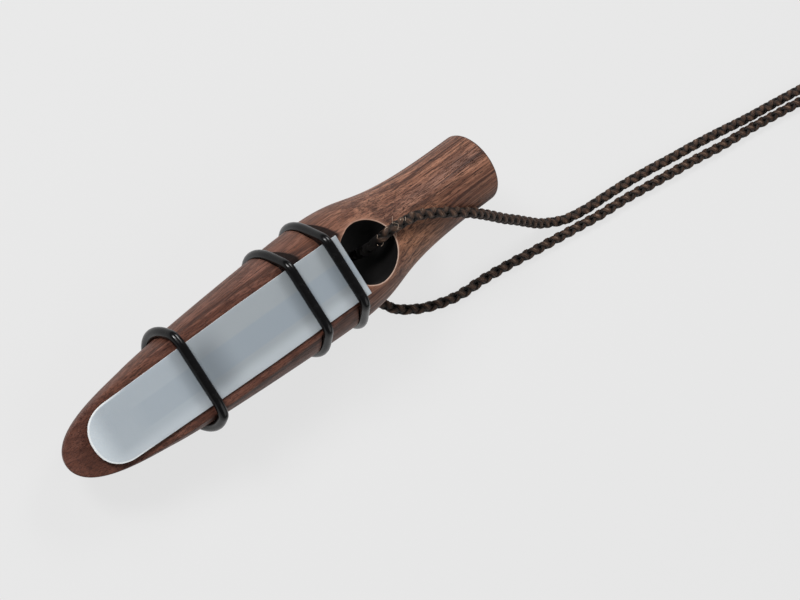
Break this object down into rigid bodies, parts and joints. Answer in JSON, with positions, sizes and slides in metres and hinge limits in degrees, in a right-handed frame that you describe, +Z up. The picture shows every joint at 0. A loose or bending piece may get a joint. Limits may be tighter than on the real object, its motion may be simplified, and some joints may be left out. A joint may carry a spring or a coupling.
{
  "type": "roe deer call",
  "caption": "Mouth-blown roe deer call: a turned wooden body whose plastic reed is held on the tone board by rubber rings, with a braided neck lanyard through its cross hole.",
  "frame": {"origin": "under the middle of the body, on the surface that the call lies on, midway between its mouth tip and its handle end", "axes": "+Z up; +X level, from the mouth tip towards the handle end; +Y across the reed, to the left of someone who looks along +X. The call lies on its tuning ring and its rear ring, so the body's own axis rises 3 degrees from the tip to the handle"},
  "size_m": [0.2401, 0.0926, 0.0267],
  "materials": {
    "walnut": "oiled walnut, satin, with darker streaks along the grain",
    "reed_plastic": "smooth pale grey, slightly milky",
    "ring_rubber": "black, semi-gloss",
    "lanyard_cord": "dark brown round braid",
    "tie_strap": "black woven strip"
  },
  "bodies": {
    "call": {"walnut_body": "walnut", "middle_ring": "ring_rubber", "rear_ring": "ring_rubber", "lanyard_over_strand": "lanyard_cord", "lanyard_under_strand": "lanyard_cord", "lanyard_outer_coil": "lanyard_cord", "lanyard_inner_coil": "lanyard_cord", "lanyard_knot": "lanyard_cord", "coil_tie": "tie_strap"},
    "reed": {"reed": "reed_plastic"},
    "tuning_ring": {"tuning_ring": "ring_rubber"}
  },
  "joints": [
    {"name": "tuning_ring_slide", "type": "slide", "parent": "call", "child": "tuning_ring", "axis": [0.9974, 0, 0.0715], "range_m": [-0.008, 0.008], "deforming": ["tuning_ring"]},
    {"name": "reed_flex", "type": "hinge", "parent": "call", "child": "reed", "pos_m": [-0.02546, 0, 0.01681], "axis": [0, -1, 0], "range_deg": [-1, 2.8], "stiffness_Nm_per_rad": 0.019, "deforming": ["reed"]}
  ]
}
